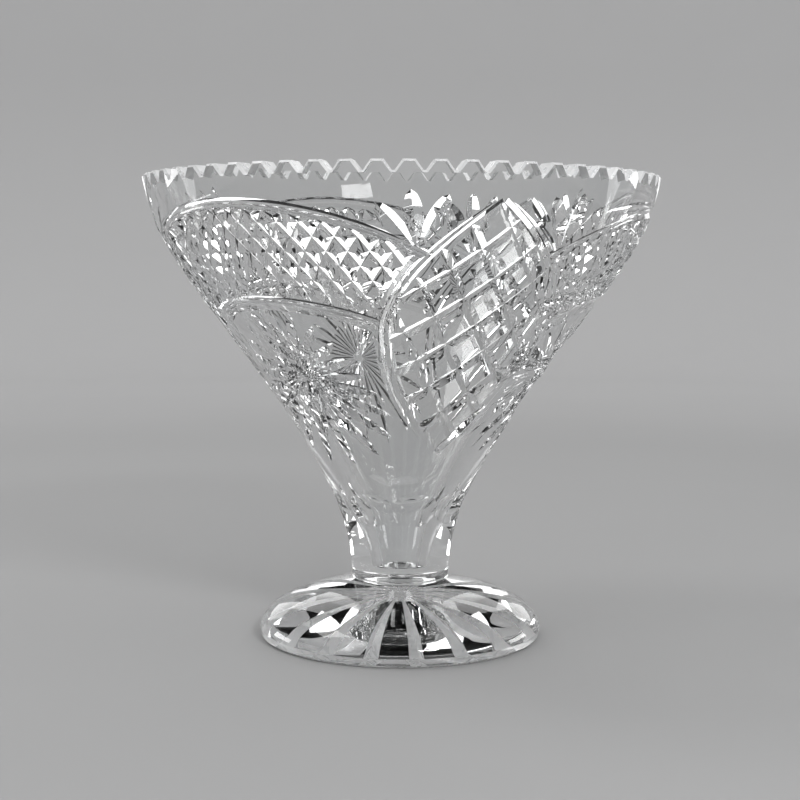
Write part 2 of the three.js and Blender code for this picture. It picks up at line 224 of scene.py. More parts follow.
# Faces get the satin by their normals. On the rim, the outward part of the normal is less than this. Under
# the foot, where they are neither upright nor level, its upward part is between these two.
RIM_OUTWARD = 0.85
STAR_STEEPEST = -0.2
STAR_LEVEL = -0.97

# Camera
CAMERA_PLACE = (-0.00035, -0.717, 0.1801)
CAMERA_PITCH = math.radians(4.933)
CAMERA_ROLL = math.radians(0.2)
CAMERA_LENS = 64.49
CAMERA_SENSOR = 36
CAMERA_NEAR = 0.01

# Studio
FLOOR_GAP = 0.0003
STUDIO_RADIUS = 2.4
STUDIO_HEIGHT = 0.8
COVE_RADIUS = 0.6
COVE_STEPS = 12
STUDIO_STEPS = 96
STUDIO_MIDDLE = 0.4
PAPER_ROUGHNESS = 0.9
PAPER_SPECULAR = 0.2
PAPER_NOISE = {"scale": 6, "detail": 3}
PAPER_TINTS = (0.985, 0.985, 0.99), (1.01, 1.01, 1.015)
FLOOR_SHADE = 0.38
FLOOR_SHADE_END = 0.8
WALL_SHADE = 0.6
WALL_SHADE_START = 1.8
DOME_LIGHT = 0.78
CEILING_START = math.sin(math.radians(11.5))
CEILING_END = math.sin(math.radians(17.5))
CEILING_LOW_SHADE = 0.02
CEILING_HIGH_SHADE = 0.002
BOX_TARGET = 0.12
LOW_BOX_RISE = 20

# Soft boxes: turn from the camera's side towards its right, rise, distance, width, height and power
SOFT_BOXES = {
    "box_front_right": (25.5, 31, 1.2, 0.31, 0.12, 4.7),
    "box_left_high": (-100, 55, 1.25, 0.4, 0.4, 2.5),
    "box_left_low": (-108, 3, 1.25, 0.5, 0.26, 2.5),
    "box_right_low": (108, 3, 1.25, 0.5, 0.26, 2.5),
    "box_left_low_behind": (-150, 13, 1.3, 0.4, 0.35, 0.75),
    "box_right_low_behind": (150, 13, 1.3, 0.4, 0.35, 0.75),
    "box_left_behind": (-160, 30, 1.3, 0.3, 0.5, 0.9),
    "box_right_behind": (160, 30, 1.3, 0.3, 0.5, 0.9),
}


def clear_scene():
    for item in list(bpy.data.objects):
        bpy.data.objects.remove(item, do_unlink=True)


def bezier(points, steps):
    """Points along a cubic curve, both ends included."""
    a, b, c, d = (np.array(p, float) for p in points)
    t = np.linspace(0, 1, steps + 1)[:, None]
    return a * (1 - t) ** 3 + 3 * b * t * (1 - t) ** 2 + 3 * c * t * t * (1 - t) + d * t**3


def curve(points, steps):
    """Points along a curve that is bent by one handle, both ends included."""
    a, b, c = (np.array(p, float) for p in points)
    t = np.linspace(0, 1, steps + 1)[:, None]
    return a * (1 - t) ** 2 + 2 * b * t * (1 - t) + c * t * t


def base_corner():
    angle = np.linspace(0, math.pi / 2, BASE_CORNER_STEPS + 1)
    return np.stack([JOIN_RADIUS + BASE_CORNER * np.sin(angle), BASE_CORNER * (1 - np.cos(angle))], 1)


class Bowl:
    """The turned form of the bowl before it is cut, with its sizes taken from the frame."""

    def __init__(self):
        low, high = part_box("bowl")
        self.join = low.z
        self.height = high.z - low.z
        self.rim = min(high.x, high.y) - CAD_MARGIN
        self.shoulder = self.height - RIM_BAND
        self.pattern_top = self.shoulder + TIP_RISE
        shoulder_radius = self.rim - RIM_LEAN
        base = JOIN_RADIUS + BASE_CORNER
        neck = NECK_REACH * (FLARE_HEIGHT - BASE_CORNER)
        wall = self.shoulder - FLARE_HEIGHT
        neck_curve = bezier((
            (base, BASE_CORNER),
            (base, BASE_CORNER + neck),
            (FLARE_RADIUS - FLARE_SLOPE * neck, FLARE_HEIGHT - neck),
            (FLARE_RADIUS, FLARE_HEIGHT),
        ), CURVE_STEPS)
        wall_curve = bezier((
            (FLARE_RADIUS, FLARE_HEIGHT),
            (FLARE_RADIUS + FLARE_SLOPE * LOWER_REACH * wall, FLARE_HEIGHT + LOWER_REACH * wall),
            (shoulder_radius - SHOULDER_SLOPE * UPPER_REACH * wall, self.shoulder - UPPER_REACH * wall),
            (shoulder_radius, self.shoulder),
        ), 2 * CURVE_STEPS)
        band_reach = BAND_REACH * RIM_BAND
        bend = (shoulder_radius + BAND_SLOPE * band_reach, self.shoulder + band_reach)
        band = curve(((shoulder_radius, self.shoulder), bend, (self.rim, self.height)), CURVE_STEPS)
        self.outer = np.concatenate([base_corner(), neck_curve[1:], wall_curve[1:], band[1:]])
        self.inner = self.inside()
        self.slant = np.concatenate([[0], np.cumsum(np.linalg.norm(np.diff(self.outer, axis=0), axis=1))])
        low = self.pattern_top - OVAL_LENGTH
        low_slant, top_slant = np.interp([low, self.pattern_top], self.outer[:, 1], self.slant)
        self.cone = (self.radius(self.pattern_top) - self.radius(low)) / (top_slant - low_slant)
        self.tip_slant = low_slant - self.radius(low) / self.cone

    def radius(self, height):
        return np.interp(height, self.outer[:, 1], self.outer[:, 0])

    def outline(self):
        """From the middle of the base over the bevelled rim and down to the middle of the well's floor."""
        edge = self.height - TOOTH_BEVEL
        below = self.outer[self.outer[:, 1] < edge]
        bevel = [(self.radius(edge), edge), (self.rim - TOOTH_BEVEL, self.height)]
        return np.concatenate([[[0, 0]], below, bevel, self.inner])

    def rolled_up(self, across, away):
        """Degrees and heights of points of the wall laid flat, which are counted from its cone's tip."""
        degrees = np.degrees(np.arctan2(across, away)) / self.cone
        heights = np.interp(np.hypot(across, away) + self.tip_slant, self.slant, self.outer[:, 1])
        return degrees, heights

    def wall(self, height):
        levels = (FLARE_HEIGHT, self.shoulder, self.height)
        return np.interp(height, levels, (NECK_WALL, SHOULDER_WALL, RIM_WALL))

    def inside(self):
        """The inside from the rim down to the middle of the floor."""
        heights = np.linspace(self.height, FLOOR_THICKNESS + FLOOR_CORNER, INSIDE_STEPS)
        side = np.stack([self.radius(heights) - self.wall(heights), heights], 1)
        angle = np.linspace(0, math.pi / 2, FLOOR_CORNER_STEPS + 1)[1:]
        corner = side[-1] + FLOOR_CORNER * np.stack([np.cos(angle) - 1, -np.sin(angle)], 1)
        return np.concatenate([side, corner, [[0, FLOOR_THICKNESS]]])

    def place(self, degrees, heights):
        """Points on the outside, and the directions that leave the glass there."""
        degrees, heights = np.broadcast_arrays(np.asarray(degrees, float), np.asarray(heights, float))
        angle = np.radians(degrees)
        step = 0.0005
        above = np.minimum(heights + step, self.height)
        slope = (self.radius(above) - self.radius(above - 2 * step)) / (2 * step)
        out = np.stack([np.sin(angle), -np.cos(angle), np.zeros_like(angle)], 1)
        points = out * self.radius(heights)[:, None]
        points[:, 2] = heights
        normals = out.copy()
        normals[:, 2] = -slope
        return points, normals / np.linalg.norm(normals, axis=1, keepdims=True)

    def degrees_across(self, distance, height):
        return np.degrees(distance / self.radius(height))


def mesh_object(name, points, faces):
    mesh = bpy.data.meshes.new(name)
    mesh.from_pydata([tuple(p) for p in points], [], faces)
    mesh.update()
    item = bpy.data.objects.new(name, mesh)
    bpy.context.scene.collection.objects.link(item)
    return item


def turned(name, outline):
    """A closed turned solid. Its outline starts and ends on the axis, anticlockwise with +X right."""
    ring = outline[1:-1]
    angle = np.radians(TOOTH_TURN) + np.linspace(0, 2 * math.pi, SPIN_STEPS, endpoint=False)
    points = np.stack([
        np.outer(np.sin(angle), ring[:, 0]),
        np.outer(-np.cos(angle), ring[:, 0]),
        np.tile(ring[:, 1], (SPIN_STEPS, 1)),
    ], 2).reshape(-1, 3)
    count = len(ring)
    bottom, top = len(points), len(points) + 1
    points = np.concatenate([points, [[0, 0, outline[0][1]], [0, 0, outline[-1][1]]]])
    faces = []
    for i in range(SPIN_STEPS):
        a = i * count
        b = (i + 1) % SPIN_STEPS * count
        faces.append((bottom, b, a))
        faces.append((top, a + count - 1, b + count - 1))
        for k in range(count - 1):
            faces.append((a + k, b + k, b + k + 1, a + k + 1))
    return mesh_object(name, points, faces)


# Sections of grooves, from one edge to the other: shares of the half width and of the depth
V_SECTION = ((1, 0), (0, 1), (-1, 0))
HOLLOW_SECTION = tuple((x, 1 - x * x) for x in np.linspace(1, -1, HOLLOW_STEPS + 1))


def groove(bowl, name, degrees, heights, depths, section=V_SECTION, half_width=None):
    """A closed cutter along a path on the bowl. Without a half width, it has the usual flanks."""
    points, normals = bowl.place(degrees, heights)
    depths = np.broadcast_to(np.asarray(depths, float), points.shape[:1])
    along = np.gradient(points, axis=0)
    side = np.cross(normals, along)
    side /= np.linalg.norm(side, axis=1, keepdims=True)
    if half_width is None:
        halves = depths * math.tan(CUT_FLANK)
        flank = halves / depths
    else:
        halves = np.full(len(points), half_width)
        flank = halves / (2 * depths)
    rows = []
    last = len(section) - 1
    for i, (across, down) in enumerate(section):
        wide = across * halves
        drop = down * depths
        if i in (0, last):
            wide = wide + math.copysign(1, across) * CLEARANCE * flank
            drop = drop - CLEARANCE
        rows.append(points + side * wide[:, None] - normals * drop[:, None])
    return strip(name, np.stack(rows, 1))


def strip(name, rings):
    """A closed solid through rings of as many points each."""
    count, size = rings.shape[:2]
    faces = [tuple(range(size))[::-1]]
    for i in range(count - 1):
        for k in range(size):
            a = size * i + k
            b = size * i + (k + 1) % size
            faces.append((a, b, b + size))
            faces.append((a, b + size, a + size))
    faces.append(tuple(size * (count - 1) + k for k in range(size)))
    item = mesh_object(name, rings.reshape(-1, 3), faces)
    if signed_volume(item.data) < 0:
        item.data.flip_normals()
    return item


def signed_volume(mesh):
    mesh.calc_loop_triangles()
    corners = np.zeros(3 * len(mesh.loop_triangles), np.int32)
    mesh.loop_triangles.foreach_get("vertices", corners)
    points = np.zeros(3 * len(mesh.vertices))
    mesh.vertices.foreach_get("co", points)
    a, b, c = points.reshape(-1, 3)[corners.reshape(-1, 3)].transpose(1, 0, 2)
    return float(np.einsum("ij,ij->", a, np.cross(b, c))) / 6


def eased(count, ends=0.12, least=0.02):
    """Shares of the full depth along a cut that runs out at both ends."""
    share = np.linspace(0, 1, count)
    return np.clip(np.minimum(share, 1 - share) / ends, least, 1) ** 0.5


def leaf_depths(count, depth):
    share = np.linspace(0, 1, count)
    return np.maximum(depth * np.sqrt(np.sin(math.pi * share**LEAF_BELLY)), LEAST_DEPTH)


def oval_edge(bowl, heights):
    """Degrees from the axis of an oval to its edge."""
    half = OVAL_LENGTH / 2
    share = (heights - bowl.pattern_top + half) / half
    roundness = np.where(share < 0, OVAL_LOWER_ROUNDNESS, OVAL_UPPER_ROUNDNESS)
    return OVAL_HALF_ANGLE * (1 - np.minimum(np.abs(share), 1) ** roundness)


def frame_edge(bowl, heights):
    return oval_edge(bowl, heights) + bowl.degrees_across(FRAME_OFFSET, heights)


def oval_cuts(bowl, side):
    share = (1 - np.cos(np.linspace(0, math.pi, GROOVE_STEPS + 1))) / 2
    heights = bowl.pattern_top - OVAL_LENGTH * share
    inner = groove(bowl, "oval", OVAL_TURN + side * oval_edge(bowl, heights), heights, OVAL_GROOVE_DEPTH)
    heights = bowl.pattern_top - FRAME_LENGTH * share
    depths = np.maximum(FRAME_GROOVE_DEPTH * np.sqrt(np.sin(math.pi * share)), LEAST_DEPTH)
    outer = groove(bowl, "frame", OVAL_TURN + side * frame_edge(bowl, heights), heights, depths)
    return [inner, outer]


def inside_runs(inside):
    """Pairs of first and last index of each run of True."""
    padded = np.concatenate([[False], inside, [False]]).astype(int)
    change = np.flatnonzero(np.diff(padded))
    return [(a, b - 1) for a, b in zip(change[::2], change[1::2])]


def block_cuts(bowl):
    """The grooves between the blocks of an oval."""
    cuts = []
    along = np.linspace(-2 * OVAL_LENGTH, 2 * OVAL_LENGTH, BLOCK_SAMPLES)
    middle = bowl.pattern_top - OVAL_LENGTH / 2
    for family in (BLOCK_RISING, BLOCK_FALLING):
        lean = math.radians(family["lean"])
        for i in range(family["count"]):
            distance = family["first"] + family["step"] * i
            across = along * math.cos(lean) - distance * math.sin(lean)
            away = along * math.sin(lean) + distance * math.cos(lean)
            degrees, heights = bowl.rolled_up(across, away)
            level = np.abs(heights - middle) < OVAL_LENGTH / 2
            within = level & (np.abs(degrees) < oval_edge(bowl, heights))
            for first, last in inside_runs(within):
                if last - first < BLOCK_LEAST:
                    continue
                pick = np.linspace(first, last, BLOCK_POINTS).round().astype(int)
                cuts.append(groove(bowl, "block", OVAL_TURN + degrees[pick], heights[pick], BLOCK_DEPTH))
    return cuts


def swag_half(bowl, height):
    """Degrees from the axis of a swag to the frame of the next oval."""
    return HALF_REPEAT - frame_edge(bowl, np.array([height]))[0]


def swag_line(bowl, crown, fall):
    """Degrees from the swag's axis, and heights, along one of its edges."""
    half = swag_half(bowl, crown - fall)
    share = np.linspace(-1, 1, GROOVE_STEPS + 1)
    return half * share, crown - fall * share**2


def swag_cuts(bowl):
    """The two borders of a swag."""
    cuts = []
    for name, crown, fall, depth, width in (
        ("swag_top", bowl.pattern_top, SWAG_TOP_FALL, SWAG_TOP_DEPTH, SWAG_TOP_WIDTH),
        ("swag_foot", bowl.pattern_top - SWAG_BREADTH, SWAG_FOOT_FALL, SWAG_FOOT_DEPTH, SWAG_FOOT_WIDTH),
    ):
        degrees, heights = swag_line(bowl, crown, fall)
        cuts.append(groove(bowl, name, SWAG_TURN + degrees, heights, depth, HOLLOW_SECTION, width / 2))
    return cuts


def diamond_cuts(bowl):
    """The two crossing families of grooves that leave sharp diamonds in a swag."""
    offsets = np.linspace(-HALF_REPEAT, HALF_REPEAT, DIAMOND_SAMPLES)
    crown = bowl.pattern_top
    top_half = swag_half(bowl, crown - SWAG_TOP_FALL)
    foot_crown = crown - SWAG_BREADTH
    foot_half = swag_half(bowl, foot_crown - SWAG_FOOT_FALL)
    ceiling = crown - SWAG_TOP_FALL * (offsets / top_half) ** 2 - DIAMOND_TOP_GAP
    floor = foot_crown - SWAG_FOOT_FALL * (offsets / foot_half) ** 2 + DIAMOND_FOOT_GAP
    middle = crown - SWAG_BREADTH / 2
    cuts = []
    for direction in (-1, 1):
        for i in range(-DIAMOND_GROOVES, DIAMOND_GROOVES + 1):
            heights = middle + direction * DIAMOND_SLOPE * (offsets - DIAMOND_STEP * (i + 0.5))
            gap = bowl.degrees_across(DIAMOND_SIDE_GAP, heights)
            side = HALF_REPEAT - frame_edge(bowl, heights) - gap
            within = (heights < ceiling) & (heights > floor) & (np.abs(offsets) < side)
            for first, last in inside_runs(within):
                if last - first < DIAMOND_LEAST:
                    continue
                pick = np.unique(np.linspace(first, last, DIAMOND_POINTS).round().astype(int))
                depths = DIAMOND_DEPTH * eased(len(pick))
                cuts.append(groove(bowl, "diamond", SWAG_TURN + offsets[pick], heights[pick], depths))
    return cuts


def leaf_cut(bowl, degrees, height, turn, start, reach, depth):
    """A pointed leaf from a root on the bowl. Its turn is from straight up the wall towards the right."""
    along = np.linspace(start, reach, LEAF_STEPS + 1)
    step = 0.001
    slope = (bowl.radius(height + step) - bowl.radius(height)) / step
    heights = height + along * math.cos(math.radians(turn)) / math.hypot(1, slope)
    across = along * math.sin(math.radians(turn))
    places = degrees + bowl.degrees_across(across, heights)
    return groove(bowl, "leaf", places, heights, leaf_depths(len(along), depth))


def fan_cuts(bowl, side):
    height = bowl.pattern_top - FAN_DROP
    gap = bowl.degrees_across(FAN_GAP, height)
    root = OVAL_TURN + side * (frame_edge(bowl, np.array([height]))[0] + gap)
    cuts = []
    for i in range(FAN_LEAVES):
        turn = side * FAN_SPREAD * (i / (FAN_LEAVES - 1) - FAN_LEAN)
        cuts.append(leaf_cut(bowl, root, height, turn, 0, FAN_REACH, FAN_LEAF_DEPTH))
    return cuts


def burst_cuts(bowl):
    """Leaves round a point under the swag. Every other one is short, and the lowest are the longest."""
    height = bowl.pattern_top - BURST_DROP
    cuts = []
    for i in range(2 * BURST_LEAVES):
        turn = 180 * i / BURST_LEAVES
        upward = math.cos(math.radians(turn))
        if upward > 0:
            reach = BURST_SIDE_REACH + (BURST_UP_REACH - BURST_SIDE_REACH) * upward**BURST_UP_NARROWNESS
        else:
            longer = abs(upward) ** BURST_DOWN_NARROWNESS
            reach = BURST_SIDE_REACH + (BURST_DOWN_REACH - BURST_SIDE_REACH) * longer
        if i % 2:
            reach *= BURST_SHORT_SHARE
        cuts.append(leaf_cut(bowl, SWAG_TURN, height, turn, BURST_HEART, reach, BURST_LEAF_DEPTH))
    return cuts


def notch_section(bowl, widening):
    """Outline of a notch, across and up. A widening moves its floor and flanks outwards by as much."""
    lean = (NOTCH_WIDTH - NOTCH_BOTTOM) / 2 / NOTCH_DEPTH
    floor = bowl.height - NOTCH_DEPTH - widening
    top = bowl.height + CLEARANCE
    low_half = NOTCH_BOTTOM / 2 + widening * (math.hypot(1, lean) - lean)
    high_half = low_half + lean * (top - floor)
    return ((-low_half, floor), (low_half, floor), (high_half, top), (-high_half, top))


def notch_cutters(bowl):
    """V-notches between the teeth of the rim, with a bevel where they meet the outside."""
    plain, wide = notch_section(bowl, 0), notch_section(bowl, 2 * TOOTH_BEVEL)
    rows = [(x, z, bowl.rim - 2 * RIM_WALL) for x, z in plain]
    rows += [(x, z, bowl.radius(z) - TOOTH_BEVEL) for x, z in plain]
    rows += [(x, z, bowl.radius(z) + TOOTH_BEVEL) for x, z in wide]
    cutters = []
    for i in range(TEETH):
        angle = math.radians(TOOTH_TURN + 360 * (i + 0.5) / TEETH)
        out = np.array([math.sin(angle), -math.cos(angle), 0])
        side = np.array([math.cos(angle), math.sin(angle), 0])
        points = [out * radius + side * x + np.array([0, 0, z]) for x, z, radius in rows]
        cutters.append(strip("notch", np.array(points).reshape(3, len(plain), 3)))
    return cutters


def flute_cutters(bowl):
    """The wheels that leave a ring of rounded panels on the neck."""
    points, normals = bowl.place([0], [FLARE_HEIGHT - FLUTE_DROP])
    middle = points[0] + normals[0] * (FLUTE_WHEEL_RADIUS - FLUTE_DEPTH)
    angle = np.linspace(0, 2 * math.pi, WHEEL_STEPS, endpoint=False)
    rings = []
    for side in (-0.5, 0.5):
        rings.append(np.stack([
            np.full(len(angle), side * FLUTE_WHEEL_WIDTH),
            middle[1] + FLUTE_WHEEL_RADIUS * np.cos(angle),
            middle[2] + FLUTE_WHEEL_RADIUS * np.sin(angle),
        ], 1))
    cutters = []
    for i in range(FLUTES):
        wheel = strip("flute", np.array(rings))
        wheel.data.transform(Matrix.Rotation(math.radians(FLUTE_TURN + 360 * i / FLUTES), 4, "Z"))
        cutters.append(wheel)
    return cutters


def combine(target, cutters, operation):
    """Joins the cutters to the target, or takes them out of it, in one evaluation."""
    for cutter in cutters:
        step = target.modifiers.new("cut", "BOOLEAN")
        step.operation = operation
        step.solver = "MANIFOLD"
        step.object = cutter
    bpy.context.view_layer.update()
    shown = target.evaluated_get(bpy.context.evaluated_depsgraph_get())
    mesh = bpy.data.meshes.new_from_object(shown)
    target.modifiers.clear()
    old = target.data
    target.data = mesh
    bpy.data.meshes.remove(old)
    for cutter in cutters:
        bpy.data.meshes.remove(cutter.data)
    return target


def turned_copy(item, degrees):
    copy = bpy.data.objects.new(item.name, item.data.copy())
    copy.data.transform(Matrix.Rotation(math.radians(degrees), 4, "Z"))
    bpy.context.scene.collection.objects.link(copy)
    return copy


def joined(items):
    """One object that holds several solids which don't touch."""
    points, faces, base = [], [], 0
    for item in items:
        coordinates = np.zeros(3 * len(item.data.vertices))
        item.data.vertices.foreach_get("co", coordinates)
        points.append(coordinates.reshape(-1, 3))
        faces.extend(tuple(base + v for v in face.vertices) for face in item.data.polygons)
        base += len(item.data.vertices)
        bpy.data.meshes.remove(item.data)
    return mesh_object("joined", np.concatenate(points), faces)


def corner_normals(mesh, turned_normals):
    """Crisp edges between cuts, and the exact normals of the turned form where the glass isn't cut.
    turned_normals takes points and face normals, and gives normals and where they hold."""
    count = len(mesh.loops)
    points = np.zeros(3 * len(mesh.vertices))
    mesh.vertices.foreach_get("co", points)
    points = points.reshape(-1, 3)
    mesh.polygons.foreach_set("use_smooth", np.ones(len(mesh.polygons), bool))
    mesh.set_sharp_from_angle(angle=SMOOTH_ANGLE)
    normals = np.zeros(3 * count)
    mesh.corner_normals.foreach_get("vector", normals)
    normals = normals.reshape(-1, 3)
    corner_vertices = np.zeros(count, np.int32)
    mesh.loops.foreach_get("vertex_index", corner_vertices)
    sizes = np.zeros(len(mesh.polygons), np.int32)
    mesh.polygons.foreach_get("loop_total", sizes)
    face_normals = np.zeros(3 * len(mesh.polygons))
    mesh.polygons.foreach_get("normal", face_normals)
    face_normals = np.repeat(face_normals.reshape(-1, 3), sizes, axis=0)
    exact, holds = turned_normals(points[corner_vertices], face_normals)
    starts = np.concatenate([[0], np.cumsum(sizes)[:-1]])
    whole = np.repeat(np.minimum.reduceat(holds.astype(np.int8), starts), sizes).astype(bool)
    normals[whole] = exact[whole]
    mesh.normals_split_custom_set(normals)


def profile_normals(outline, sharp):
    """A function for corner_normals: the normals of a turned outline, which hold near it. Where the
    outline bends by more than the sharp angle, it keeps its corner."""
    start, end = outline[:-1], outline[1:]
    run = end - start
    length = np.linalg.norm(run, axis=1)
    keep = length > TINY
    start, run, length = start[keep], run[keep], length[keep]
    across = np.stack([run[:, 1], -run[:, 0]], 1) / length[:, None]
    bend = np.einsum("ij,ij->i", across[:-1], across[1:])
    soft = bend > math.cos(sharp)
    middle = across[:-1] + across[1:]
    middle /= np.linalg.norm(middle, axis=1, keepdims=True)
    first, last = across.copy(), across.copy()
    first[1:][soft] = middle[soft]
    last[:-1][soft] = middle[soft]

    def normals(points, face_normals):
        radius = np.hypot(points[:, 0], points[:, 1])
        flat = np.stack([radius, points[:, 2]], 1)
        out = points[:, :2] / np.maximum(radius, TINY)[:, None]
        best = np.full(len(points), np.inf)
        found = np.zeros((len(points), 2))
        level = np.einsum("ij,ij->i", face_normals[:, :2], out)
        lean = np.stack([level, face_normals[:, 2]], 1)
        for i in range(len(run)):
            share = np.clip((flat - start[i]) @ run[i] / length[i] ** 2, 0, 1)
            near = np.linalg.norm(flat - start[i] - share[:, None] * run[i], axis=1)
            agree = lean @ across[i]
            cost = near + np.where(agree > math.cos(SURFACE_ANGLE), 0, OTHER_SURFACE)
            better = cost < best
            best = np.where(better, cost, best)
            blend = first[i] * (1 - share[:, None]) + last[i] * share[:, None]
            found = np.where(better[:, None], blend, found)
        found /= np.maximum(np.linalg.norm(found, axis=1, keepdims=True), TINY)
        exact = np.stack([out[:, 0] * found[:, 0], out[:, 1] * found[:, 0], found[:, 1]], 1)
        return exact, best < SURFACE_TOLERANCE

    return normals


def frost(mesh, low, high, picks):
    """Gives the satin to the faces that picks chooses and whose middles are between two heights."""
    for face in mesh.polygons:
        if low < face.center.z < high and picks(face):
            face.material_index = 1


def faces_round(face):
    """True for a face that looks along the rim, up or aslant, and not straight out or in."""
    out = Vector((face.center.x, face.center.y, 0)).normalized()
    return abs(face.normal.dot(out)) < RIM_OUTWARD


def faces_down(face):
    """True for a face under the foot that isn't level."""
    return STAR_LEVEL < face.normal.z < STAR_STEEPEST


def make_bowl():
    bowl = Bowl()
    outline = bowl.outline()
    body = turned("crystal_bowl", outline)
    cuts = []
    for side in (-1, 1):
        cuts += oval_cuts(bowl, side)
        cuts += fan_cuts(bowl, side)
    cuts += block_cuts(bowl) + swag_cuts(bowl) + diamond_cuts(bowl) + burst_cuts(bowl)
    sector = combine(cuts[0], cuts[1:], "UNION")
    copies = [turned_copy(sector, 360 * i / REPEATS) for i in range(1, REPEATS)]
    combine(body, [sector, *copies, joined(notch_cutters(bowl)), *flute_cutters(bowl)], "DIFFERENCE")
    corner_normals(body.data, profile_normals(outline, SMOOTH_ANGLE))
    add_materials(body, "bowl", BOWL_WAVE)
    below_notches = bowl.height - NOTCH_DEPTH - 1.1 * TOOTH_BEVEL
    frost(body.data, below_notches, bowl.height - CAD_MARGIN, faces_round)
    body.data.transform(Matrix.Translation((0, 0, bowl.join)))
    return body


def foot_outline():
    low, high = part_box("foot")
    radius = min(high.x, high.y) - CAD_MARGIN
    dome = bezier((
        (radius, FOOT_EDGE_HEIGHT),
        (radius - FOOT_BEVEL, FOOT_EDGE_HEIGHT + DOME_EDGE_RISE),
        (JOIN_RADIUS + DOME_SHOULDER, high.z - DOME_DROP),
        (JOIN_RADIUS, high.z),
    ), 2 * CURVE_STEPS)
    return np.concatenate([
        [(0, 0), (radius - 2 * FOOT_BEVEL, 0), (radius - FOOT_BEVEL / 2, FOOT_BEVEL)],
        dome,
        [(JOIN_RADIUS, high.z + JOIN_OVERLAP), (0, high.z + JOIN_OVERLAP)],
    ])


def star_ray(turn, reach):
    """One V-groove of the star, which widens and deepens outwards."""
    half = STAR_GROOVE_WIDTH / 2
    rings = []
    places = ((STAR_HEART * reach, 0), (reach - STAR_GROOVE_DEPTH / 2, 0), (reach, STAR_END_FALL))
    for radius, fall in places:
        share = radius / reach
        spread = half * (share + CLEARANCE / STAR_GROOVE_DEPTH)
        depth = STAR_GROOVE_DEPTH * share * (1 - fall)
        rings.append([(-spread, -radius, -CLEARANCE), (spread, -radius, -CLEARANCE), (0, -radius, depth)])
    ray = strip("ray", np.array(rings))
    ray.data.transform(Matrix.Rotation(math.radians(turn), 4, "Z"))
    return ray


def make_foot():
    outline = foot_outline()
    foot = turned("crystal_foot", outline)
    reach = outline[:, 0].max() - STAR_RIM_LAND
    rays = [star_ray(STAR_TURN + 360 * i / STAR_RAYS, reach) for i in range(STAR_RAYS)]
    combine(foot, rays, "DIFFERENCE")
    corner_normals(foot.data, profile_normals(outline, SMOOTH_ANGLE))
    add_materials(foot, "foot", FOOT_WAVE)
    frost(foot.data, CAD_MARGIN, STAR_GROOVE_DEPTH, faces_down)
    return foot


def map_range(node, start, end, low, high, interpolation):
    node.interpolation_type = interpolation
    for name, value in (("From Min", start), ("From Max", end), ("To Min", low), ("To Max", high)):
        node.inputs[name].default_value = value


class Material:
    """A material and short calls for its nodes, which take and give sockets."""

    def __init__(self, name):
        self.material = bpy.data.materials.new(name)
        self.material.use_nodes = True
        self.nodes, self.links = self.material.node_tree.nodes, self.material.node_tree.links
        self.shader = self.nodes["Principled BSDF"]
        self.place = self.nodes.new("ShaderNodeTexCoord").outputs["Object"]

    def set(self, name, value):
        self.shader.inputs[name].default_value = value

    def feed(self, name, source):
        self.links.new(source, self.shader.inputs[name])

    def noise(self, scale, detail):
        noise = self.nodes.new("ShaderNodeTexNoise")
        noise.inputs["Scale"].default_value = scale
        noise.inputs["Detail"].default_value = detail
        self.links.new(self.place, noise.inputs["Vector"])
        return noise.outputs["Fac"]

    def tint(self, source, tints, start=0.0, end=1.0):
        """A colour that goes from the first tint to the second as the source goes from start to end."""
        ramp = self.nodes.new("ShaderNodeValToRGB")
        for i, position in enumerate((start, end)):
            ramp.color_ramp.elements[i].position = position
            ramp.color_ramp.elements[i].color = (*tints[i], 1)
        self.links.new(source, ramp.inputs["Fac"])
        return ramp.outputs["Color"]

    def mapped(self, source, start, end, low=0.0, high=1.0, interpolation="LINEAR"):
        """A value that goes from low to high as the source goes from start to end."""
        node = self.nodes.new("ShaderNodeMapRange")
        map_range(node, start, end, low, high, interpolation)
        self.links.new(source, node.inputs["Value"])
        return node.outputs["Result"]


def satin(name):
    """Crystal that the wheel left slightly frosted, with fine scratches."""
    glass = Material(name)
    glass.set("Transmission Weight", SATIN_CLEARNESS)
    glass.set("IOR", GLASS_INDEX)
    scratches = glass.noise(**SCRATCH_NOISE)
    glass.feed("Base Color", glass.tint(scratches, SATIN_TINTS, TINT_START, TINT_END))
    smooth = SATIN_ROUGHNESS * (1 - SATIN_UNEVENNESS)
    rough = SATIN_ROUGHNESS * (1 + SATIN_UNEVENNESS)
    glass.feed("Roughness", glass.mapped(scratches, TINT_START, TINT_END, smooth, rough))
    return glass.material


def crystal(name, wave):
    """Clear crystal with the faint waves and smears of hand polishing."""
    glass = Material(name)
    glass.set("Transmission Weight", 1)
    glass.set("IOR", GLASS_INDEX)
    smears = glass.noise(**SMEAR_NOISE)
    glass.feed("Base Color", glass.tint(smears, GLASS_TINTS, TINT_START, TINT_END))
    glass.feed("Roughness", glass.mapped(smears, SMEAR_START, SMEAR_END, 0.0, SMEAR_ROUGHNESS))
    bump = glass.nodes.new("ShaderNodeBump")
    bump.inputs["Strength"].default_value = 1
    bump.inputs["Distance"].default_value = wave
    glass.links.new(glass.noise(**WAVE_NOISE), bump.inputs["Height"])
    glass.feed("Normal", bump.outputs["Normal"])
    return glass.material


def add_materials(piece, node, wave):
    piece.data.materials.clear()
    piece.data.materials.append(crystal(node + "_crystal", wave))
    piece.data.materials.append(satin(node + "_satin"))


